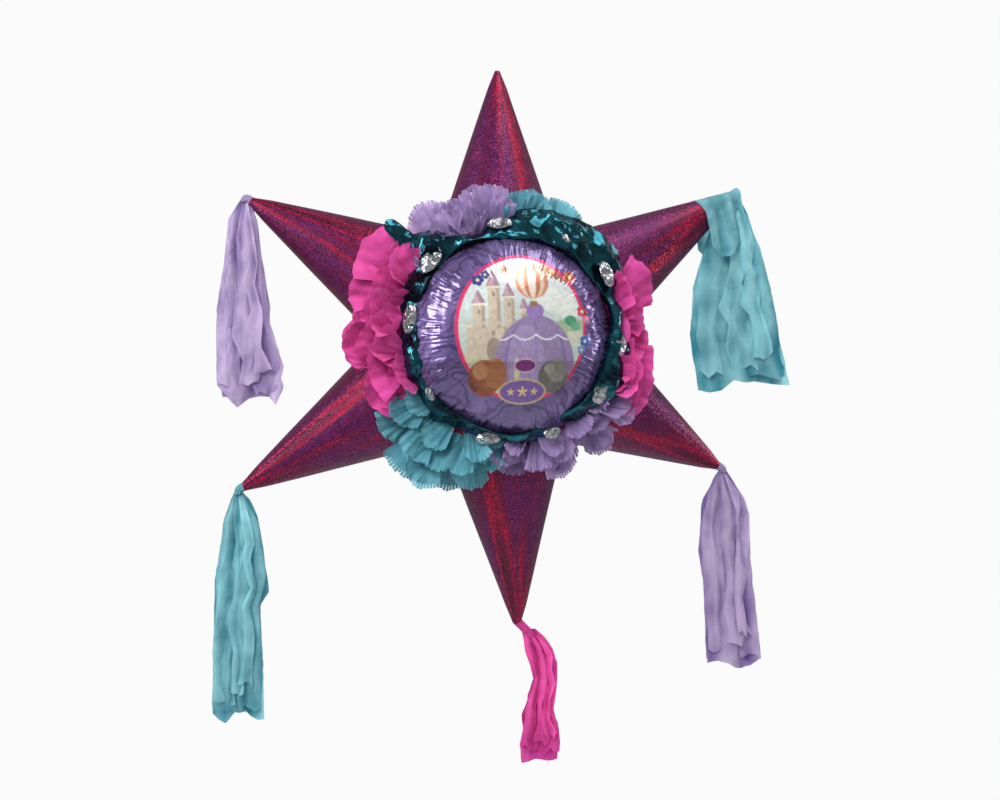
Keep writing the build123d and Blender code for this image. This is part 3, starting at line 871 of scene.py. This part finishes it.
def petal(rng, clock, inner, outer, forward, curl, fringe):
    """One gathered fan of tissue, cupped and creased from its root, with slits along its far
    edge, or torn if it has no fringe. Returns its points, its faces and each point's tone."""
    cols = 2 * STRIPS + 1
    s = np.linspace(-1, 1, cols)[None, :]
    t = np.linspace(0, 1, MAIN_ROWS)[:, None]
    broad = 1.0 if fringe else 1.35
    half_inner = rng.uniform(2.5, 4.5) * broad
    half_outer = rng.uniform(6.5, 9.0) * broad
    skew = rng.uniform(-7.0, 7.0)
    folds = rng.uniform(1.1, 1.9)
    phase = rng.uniform(0, 2 * pi)
    lean = rng.uniform(-0.022, 0.022)
    cup = rng.uniform(0.004, 0.015) * (1.5 if not fringe else 1.0) * rng.choice([1, 1, -1])
    crease = rng.uniform(0.0035, 0.0080)
    dip = rng.uniform(0.010, 0.030)
    drift = rng.uniform(-0.5, 0.5)

    def place(s, t):
        half = half_inner + (half_outer - half_inner) * t**0.7
        angle = np.radians(clock + skew * t + half * s)
        length = outer - inner - dip * np.abs(s) ** 2.2
        folded = zigzag(folds * pi * s + phase + drift * t) + 0.35 * zigzag(
            folds * 2.9 * pi * s + phase * 2.3
        )
        swell = 0.0012 + crease * t
        r = inner + length * (t - 0.08 * t**2) / 0.92
        y = -(forward + curl * t**2 + lean * s * t + cup * s**2 * t + swell * folded)
        return upright(r, angle, y), folded

    main, folded = place(s, t * (1 - fringe / (outer - inner)))
    crumple = soft_noise(main, 38, rng.uniform(0, 50), 3)[..., None]
    main = main + crumple * np.array([0.0010, 0.0030, 0.0010]) * (0.2 + t[..., None])
    if not fringe:
        torn = 0.0045 * soft_noise(main[-3:], 60, rng.uniform(0, 50), 4)
        out = direction(clock)
        main[-3:] += torn[..., None] * out * np.array([0.3, 0.65, 1.0])[:, None, None]
    # painted shade: darker towards the fan's root, where the layers crowd, and lighter and darker
    # across its folds and crumples, as light falls on them; each fan also differs at random
    tone_and_shade = 0.30 + 0.46 * t - 0.13 * folded * t + 0.25 * crumple[..., 0] + rng.uniform(-0.16, 0.16)
    points = [main.reshape(-1, 3)]
    tones = [tone_and_shade.ravel()]
    faces = [grid_faces(MAIN_ROWS, cols)]
    count, last = MAIN_ROWS * cols, (MAIN_ROWS - 1) * cols
    for j in range(STRIPS if fringe else 0):
        bend = rng.normal(0, 0.0026)
        reach = fringe * rng.uniform(0.70, 1.05)
        root = main[-1, 2 * j : 2 * j + 3]
        outward = root - main[-3, 2 * j : 2 * j + 3]
        outward = outward / np.linalg.norm(outward, axis=-1, keepdims=True)
        rows = []
        for k in range(1, FRINGE_ROWS + 1):
            far = k / FRINGE_ROWS
            row = root + outward * reach * far
            row = row[1] + (row - row[1]) * (0.92 - 0.12 * far)
            row[:, 1] += bend * far**2
            rows.append(row)
        points.append(np.concatenate(rows))
        # painted light: the fringe strips are a little lighter than the fan's edge
        tones.append(np.full(3 * FRINGE_ROWS, tone_and_shade[-1, 2 * j + 1] + 0.08))
        top = [last + 2 * j + i for i in range(3)]
        for k in range(FRINGE_ROWS):
            low = [count + 3 * k + i for i in range(3)]
            faces.append(np.array([[top[i], top[i + 1], low[i + 1], low[i]] for i in range(2)]))
            top = low
        count += 3 * FRINGE_ROWS
    return np.concatenate(points), np.concatenate(faces), np.concatenate(tones)


def ruffle_sector(sector, layer, seed):
    """All the fans of one colour and one layer, side by side and overlapping."""
    first, last, fringe = SECTORS[sector]
    rng = np.random.default_rng(seed)
    points, faces, tones = [], [], []
    count = 0
    for inner, share, forward, curl, spacing in LAYERS[layer]:
        number = max(2, round((last - first) / spacing))
        for i in range(number):
            clock = first + (last - first) * (i + 0.5) / number + rng.uniform(-3.0, 3.0)
            outer = float(around(RUFFLE_EDGE, clock))
            outer = outer * share * rng.uniform(0.94, 1.06)
            p, f, tone_and_shade = petal(
                rng,
                clock,
                inner,
                outer,
                forward + rng.uniform(-0.005, 0.005),
                curl * rng.uniform(0.2, 1.5),
                fringe * rng.uniform(0.8, 1.15),
            )
            points.append(p)
            faces.append(f + count)
            tones.append(tone_and_shade)
            count += len(p)
    piece = make_piece(
        f"ruffle_{layer}_fans_{sector}",
        np.concatenate(points),
        np.concatenate(faces),
        {"tone_and_shade": np.concatenate(tones)},
    )
    colour = sector.split("_")[0]
    finish_piece(piece, "star", TISSUES[colour], f"tissue_{colour}", f"ruffle_{layer}_{sector}")
    return piece


# ---- streamers ----
def tip_of(name):
    clock, reach, _ = CONES[name]
    return direction(clock) * reach


def hung_sheet(name, label, edges, hem, folds, depth, forward, tone_and_shade_shift, seed):
    """A sheet of tissue that hangs from a cone's tip, nearly flat but for a few sharp folds.
    edges are (drop, left, right) in metres from the tip; hem is how far the lower edge falls
    short, at even steps across."""
    rng = np.random.default_rng(seed)
    rows, cols = 90, 56
    s = np.linspace(0, 1, cols)[None, :]
    t = np.linspace(0, 1, rows)[:, None]
    table = np.array(edges)
    length = table[-1, 0] - table[0, 0]
    short = np.interp(s, np.linspace(0, 1, len(hem)), hem)
    drop = table[0, 0] + t * (length - short * smoothstep(0.4, 1.0, t))
    left = np.interp(drop, table[:, 0], table[:, 1])
    right = np.interp(drop, table[:, 0], table[:, 2])
    phases = rng.uniform(0, 2 * pi, 4)
    drift = 0.8 * np.sin(2.2 * t + phases[0]) + 0.4 * np.sin(5.1 * t + phases[1])
    x = left + (right - left) * s
    fold = zigzag(2 * pi * folds * s + phases[2] + drift)
    size = depth * (0.3 + 0.7 * smoothstep(0.0, 0.35, t))
    y = -(forward * smoothstep(0, 0.15, t)) - size * fold
    y = y + 0.5 * depth * np.sin(3.4 * t + phases[1]) * smoothstep(0.2, 1, t)
    points = np.stack([x, y, -drop + 0 * x], axis=-1)
    slanted = zigzag(48 * (x + 0.5 * drop) + phases[0]) * zigzag(8 * drop + phases[3])
    crushed = np.abs(soft_noise(points * [1.0, 1.0, 0.6], 38, seed + 5, 2))
    planes = facets(points * [1.0, 0.5, 0.45], 30, seed + 2)
    relief = 0.0012 * slanted + 0.0020 * (0.3 - crushed) + 0.006 * planes
    points[..., 1] -= relief * smoothstep(0, 0.1, t)
    points[..., 0] += 0.0014 * soft_noise(points, 30, seed + 9, 2)
    # painted shade and light: lighter and darker across the folds, slanted creases and facets, as
    # light falls on them, and darker near the top, where the sheet gathers; the shift passed in
    # makes sheets behind darker and those in front lighter
    tone_and_shade = 0.58 + tone_and_shade_shift + 0.20 * fold + 0.12 * slanted + 0.7 * (planes - planes.mean())
    tone_and_shade = tone_and_shade - 0.30 * (1 - smoothstep(0.0, 0.20, t))
    colour = STREAMERS[name][0]
    piece = make_piece(
        f"streamer_{name}_{label}",
        points + tip_of(name),
        grid_faces(rows, cols),
        {"tone_and_shade": tone_and_shade.ravel()},
    )
    piece.data.materials.append(HUNG_PAINTED_LIGHTER[colour])
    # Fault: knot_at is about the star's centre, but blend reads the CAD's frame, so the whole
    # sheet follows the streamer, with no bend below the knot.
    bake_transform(piece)
    return piece


def torn_strip(rng, edges, first, last, share):
    """The edges of a narrower strip inside a bunch, wandering with straight runs and corners.
    first and last are shares of the bunch's width; share is how far down it reaches."""
    table = np.array(edges)
    top, end = table[0, 0], table[0, 0] + (table[-1, 0] - table[0, 0]) * share
    drops = np.linspace(top, end, 9)
    drops[1:-1] += rng.uniform(-0.3, 0.3, 7) * (drops[1] - drops[0])
    left = np.interp(drops, table[:, 0], table[:, 1])
    width = np.interp(drops, table[:, 0], table[:, 2]) - left
    starts = np.clip(first + rng.uniform(-0.09, 0.09, 9), 0, 1)
    ends = np.clip(last + rng.uniform(-0.09, 0.09, 9), 0, 1)
    return list(zip(drops, left + width * starts, left + width * ends))


NECK_START, NECK_END = 0.0078, 0.0062  # radius at the cone's mouth and below the knot


def gathered_neck(name, colour, seed):
    """The twisted, pleated tissue between a cone's mouth and the knot below it."""
    clock, reach, _ = CONES[name]
    start = direction(clock) * (reach - 0.004)
    end = knot_at[name] - np.array([0, 0, 0.008])
    bend = knot_at[name] + direction(clock) * 0.002 + np.array([0, 0, 0.003])
    rows, cols = 26, 72
    t = np.linspace(0, 1, rows)[:, None, None]
    path = (1 - t) ** 2 * start + 2 * t * (1 - t) * bend + t**2 * end
    path = path[:, 0, :]
    tangent = np.gradient(path, axis=0)
    tangent /= np.linalg.norm(tangent, axis=1, keepdims=True)
    across = np.cross(tangent, FRONT)
    phi = np.linspace(0, 2 * pi, cols, endpoint=False)[None, :]
    tt = np.linspace(0, 1, rows)[:, None]
    radius = NECK_START + (NECK_END - NECK_START) * tt + 0.0008 * np.sin(pi * tt)
    pleats = 1 + 0.16 * np.abs(np.sin(phi * 5.5 + 2.2 * tt + seed)) - 0.06 * np.sin(phi * 9 + seed)
    ring = spokes(phi, across[:, None, :])
    points = path[:, None, :] + ring * (radius * pleats)[..., None]
    # painted shade: lighter on the pleats' crests and darker in their hollows; the two end caps are
    # set low, darker
    tone_and_shade = 0.15 + 0.8 * (pleats - 0.95) / 0.2 * 0.6
    every = np.concatenate([points.reshape(-1, 3), [path[0], path[-1]]])
    faces = [tuple(f) for f in grid_faces(rows, cols, closed=True)]
    top, low = rows * cols, rows * cols + 1
    last = (rows - 1) * cols
    faces += [((j + 1) % cols, j, top) for j in range(cols)]
    faces += [(last + j, last + (j + 1) % cols, low) for j in range(cols)]
    tones = np.concatenate([tone_and_shade.ravel(), [0.3, 0.3]])
    piece = make_piece(f"neck_{name}", every, faces, {"tone_and_shade": tones})
    piece.data.materials.append(HUNG_PAINTED_LIGHTER[colour])
    # The same fault: the lower three necks follow their knots, the upper two stay on the star.
    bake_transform(piece)
    return piece


STREAMERS = {  # name: colour, then (drop, left, right) from the tip, and how the hem falls short
    "upper_left": (
        "lavender",
        [(-0.009, -0.016, -0.004), (0.004, -0.024, 0.003), (0.040, -0.044, 0.013),
         (0.130, -0.054, 0.024), (0.220, -0.069, 0.038), (0.250, -0.068, 0.036),
         (0.340, -0.070, 0.064), (0.362, -0.070, 0.056), (0.380, -0.069, 0.063),
         (0.420, -0.068, 0.046)],
        [0.045, 0.020, 0.0, 0.018, 0.022, 0.020, 0.004],
    ),
    "upper_right": (
        "teal",
        [(0.008, 0.001, 0.018), (0.040, -0.040, 0.034), (0.130, -0.072, 0.060),
         (0.200, -0.094, 0.080), (0.300, -0.103, 0.092), (0.428, -0.088, 0.119)],
        [0.006, 0.0, 0.004, 0.026, 0.020, 0.022, 0.018, 0.014, 0.012],
    ),
    "lower_left": (
        "teal",
        [(0.009, -0.018, -0.003), (0.026, -0.026, 0.012), (0.062, -0.038, 0.028),
         (0.184, -0.058, 0.045), (0.212, -0.059, 0.048), (0.236, -0.060, 0.030),
         (0.300, -0.062, 0.034), (0.464, -0.068, 0.037)],
        [0.016, 0.006, 0.0, 0.018, 0.024, 0.004, 0.0, 0.004],
    ),
    "lower_right": (
        "lavender",
        [(0.009, 0.003, 0.018), (0.026, -0.010, 0.030), (0.070, -0.034, 0.053),
         (0.100, -0.038, 0.062), (0.180, -0.045, 0.063), (0.260, -0.036, 0.067),
         (0.410, -0.036, 0.079), (0.434, -0.034, 0.079)],
        [0.024, 0.022, 0.018, 0.006, 0.0, 0.004, 0.022],
    ),
    "bottom": (
        "pink",
        [(0.014, 0.010, 0.038), (0.030, 0.012, 0.056), (0.058, 0.014, 0.075),
         (0.082, 0.024, 0.081), (0.120, 0.031, 0.081), (0.167, 0.012, 0.072),
         (0.187, 0.004, 0.075), (0.225, 0.010, 0.085), (0.245, -0.001, 0.083),
         (0.285, 0.002, 0.079)],
        [0.0, 0.0],
    ),
}
STRIPS_IN_BUNCH = [  # label, share of width from and to, share of length, forward, fold depth, tone with painted shade, mostly darker behind and lighter in front
    ("behind", 0.10, 0.90, 0.97, -0.014, 0.004, -0.30),
    ("left", 0.00, 0.42, 0.93, 0.006, 0.004, 0.06),
    ("right", 0.56, 1.00, 0.96, 0.008, 0.004, -0.12),
    ("middle", 0.34, 0.66, 0.90, 0.015, 0.003, 0.20),
    ("front", 0.60, 0.80, 0.84, 0.021, 0.003, 0.34),
]


def streamers():
    """Five bunches: the first sheet has the bunch's outline, and the strips lie before it."""
    for i, (name, (colour, edges, hem)) in enumerate(STREAMERS.items()):
        rng = np.random.default_rng(40 + i)
        depth = 0.009 if name == "bottom" else 0.011
        if name.startswith("lower"):  # these start at the knot, to swing clear of the cone
            knot_drop = tip_of(name)[2] - knot_at[name][2]
            edges = [(max(edges[0][0], knot_drop + 0.002), *edges[0][1:]), *edges[1:]]
        # the outline sheet lies behind the strips and is painted 0.10 darker, as shade
        outline = hung_sheet(name, "outline", edges, hem, 1.3, depth, 0.0, -0.10, 10 * i + 1)
        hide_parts(f"streamer_{name}")
        for j, (label, first, last, share, forward, fold, tone_and_shade) in enumerate(STRIPS_IN_BUNCH):
            strip = torn_strip(rng, edges, first, last, share)
            strip_hem = list(rng.uniform(0, 0.022, 5))
            hung_sheet(name, label, strip, strip_hem, 0.9, fold, forward, tone_and_shade, 10 * i + j + 2)
        gathered_neck(name, colour, i)


def folded_drape():
    """Tissue folded over the last stretch of the upper right cone, front and back."""
    clock, reach, tip_radius = CONES["upper_right"]
    axis = direction(clock)
    up = np.cross(FRONT, axis)
    up = up if up[2] > 0 else -up
    slope = (BASE_R - tip_radius) / (reach - BASE_U)
    rows, cols = 84, 60
    s = np.linspace(0, 1, cols)[None, :]
    around_cone = np.linspace(-1, 1, rows)[:, None]
    back_from_tip = 0.086 * (1 - s) - 0.016 * s
    r = tip_radius + slope * np.clip(back_from_tip, 0, None) + 0.004
    hang = 0.030 + 0.085 * np.sin(pi * (0.16 + 0.70 * s))
    path = np.abs(around_cone) * (r * pi / 2 + hang)
    over = np.clip(path / r, 0, pi / 2)
    below = np.clip(path - r * pi / 2, 0, None)
    side = np.sign(around_cone)
    centre = axis * (reach - back_from_tip)[..., None]
    folds = 0.0042 * zigzag(s * 11 + 2 * around_cone) + 0.0020 * zigzag(s * 23 - 4 * around_cone)
    out = side * (r * np.sin(over) + 0.10 * below) + side * folds * smoothstep(0, 0.02, below)
    points = centre + FRONT * out[..., None] + up * (r * np.cos(over))[..., None]
    points = points + np.array([0.0, 0.0, -1.0]) * below[..., None]
    points[..., 0] += 0.10 * below
    ridges = soft_noise(points, 40, 3, 3)
    points = points + ridges[..., None] * np.array([0.0012, 0.0016, 0.0012])
    # painted shade and light: lighter and darker across the folds and ridges, as light falls on
    # them
    tone_and_shade = 0.48 + 36 * folds + 0.3 * ridges + 0 * s
    piece = make_piece("drape_upper_right", points, grid_faces(rows, cols), {"tone_and_shade": tone_and_shade.ravel()})
    finish_piece(piece, "star", HUNG_PAINTED_LIGHTER["teal"], "tissue_teal", "streamer_drape")
    return piece


# ---- what the CAD shapes are made of ----
def dress_cad_nodes():
    card = fibrous("card_grey", (0.26, 0.20, 0.14), (0.42, 0.34, 0.25), 0.85)
    chosen = {
        "ball_shell": papier_mache("papier_mache"),
        "hanger_wire": galvanised_wire("steel_wire"),
        "hanger_crossbar": fibrous(
            "dowel_wood", (0.36, 0.22, 0.11), (0.62, 0.43, 0.25), 0.6, (1, 12, 12), 90.0
        ),
        "hanger_patch": holographic_foil("patch_foil"),
        "fill_flap": holographic_foil("flap_foil"),
        "flap_hinge_tape": holographic_foil("tape_plum"),
        "flap_pull_tab": satin_ribbon("ribbon"),
        "balloon_seam": seam_film,
        "balloon_neck": bare_film,
        "tip_plug_top": holographic_foil("tip_foil"),
    }
    chosen.update({f"cone_core_{name}": card for name in CONES})
    for name, (colour, *_) in STREAMERS.items():
        for kind in ("knot", "twist"):
            chosen[f"streamer_{kind}_{name}"] = TISSUES[colour]
    for node, material in chosen.items():
        mesh = frame["nodes"][node].data
        mesh.materials.clear()
        mesh.materials.append(material)


# ---- stage ----
WHITE = 0.965  # of the floor and the background, as the camera sees them


def camera_sees(tree, seen, lit):
    """A surface that shows as seen to the camera and lights the rest as lit does."""
    ray = tree.nodes.new("ShaderNodeLightPath").outputs["Is Camera Ray"]
    return add_node(
        tree, "ShaderNodeMixShader", Fac=ray, i1=lit.outputs[0], i2=seen.outputs[0]
    ).outputs[0]


def stage():
    size = 9.0  # half the floor's side
    mesh = bpy.data.meshes.new("floor")
    low = cad_box[0][2] - 0.9
    corners = [(-size, -size, low), (size, -size, low), (size, size, low), (-size, size, low)]
    mesh.from_pydata(corners, [], [(0, 1, 2, 3)])
    floor = link(bpy.data.objects.new("floor", mesh))
    material, tree, shader = new_material("floor_pale", roughness=0.9)
    shader.inputs["Base Color"].default_value = (0.62, 0.62, 0.62, 1)
    white = add_node(tree, "ShaderNodeEmission", Color=(1, 1, 1, 1), Strength=WHITE)
    show(tree, camera_sees(tree, white, shader))
    mesh.materials.append(material)

    world = bpy.data.worlds.new("studio")
    bpy.context.scene.world = world
    world.use_nodes = True
    tree = world.node_tree
    seen = add_node(tree, "ShaderNodeBackground", Color=(1, 1, 1, 1), Strength=WHITE)
    lit = add_node(tree, "ShaderNodeBackground", Color=(0.93, 0.95, 1.0, 1), Strength=0.32)
    tree.links.new(camera_sees(tree, seen, lit), tree.nodes["World Output"].inputs["Surface"])


def area_light(name, place, size, energy, aim, glossy=True):
    """A softbox; one that isn't glossy lights what is matt but shows in no reflection."""
    data = bpy.data.lights.new(name, "AREA")
    data.shape = "RECTANGLE"
    data.size, data.size_y = size
    data.energy = energy
    light = link(bpy.data.objects.new(name, data))
    light.visible_glossy = glossy
    place = Vector(star) + Vector(place)
    aim = Vector(star) + Vector(aim)
    turn = (aim - place).to_track_quat("-Z", "Y").to_matrix().to_4x4()
    light.matrix_world = Matrix.Translation(place) @ turn


def lights():
    area_light("key", (-1.3, -2.5, 1.7), (1.6, 1.2), 96, (0, 0, 0), glossy=False)
    area_light("fill", (2.7, -2.1, 0.2), (2.8, 2.6), 30, (0, 0, 0), glossy=False)
    area_light("overhead", (0.79, -0.85, 2.31), (2.2, 1.15), 30, (0.02, -0.22, 0.13))
    area_light("strip_left", (-2.4, -0.9, 0.9), (0.5, 1.8), 30, (-0.2, 0, 0))
    area_light("strip_right", (2.4, 0.3, 0.4), (0.4, 1.6), 16, (0.2, 0, 0))
    area_light("rim", (0.3, 2.4, 1.6), (2.2, 1.4), 40, (0, 0, 0), glossy=False)


def camera():
    """Two metres in front of the star's centre, a little to its left and below."""
    azimuth, elevation, roll, away = radians(-8), radians(-2.4), radians(-1.25), 2.0
    back = Vector((sin(azimuth) * cos(elevation), -cos(azimuth) * cos(elevation), sin(elevation)))
    right = Vector((cos(azimuth), sin(azimuth), 0))
    up = back.cross(right)
    x_axis = right * cos(roll) + up * sin(roll)
    y_axis = up * cos(roll) - right * sin(roll)
    data = bpy.data.cameras.new("camera")
    data.sensor_width = 36
    data.lens = 34.286
    data.shift_x = 0.0025
    data.shift_y = -0.0608
    view = link(bpy.data.objects.new("camera", data))
    turn = Matrix((x_axis, y_axis, back)).transposed().to_4x4()
    view.matrix_world = Matrix.Translation(Vector(star) + back * away) @ turn
    bpy.context.scene.camera = view
    bpy.context.scene.view_settings.view_transform = "Standard"


camera()
stage()
lights()
for index, cone_name in enumerate(CONES):
    cone_skin(cone_name, index)
ball_wrap()
picture()
garland()
silver_ovals()
for index, sector_name in enumerate(SECTORS):
    ruffle_sector(sector_name, "outer", 100 + index)
    ruffle_sector(sector_name, "inner", 200 + index)
streamers()
folded_drape()
dress_cad_nodes()
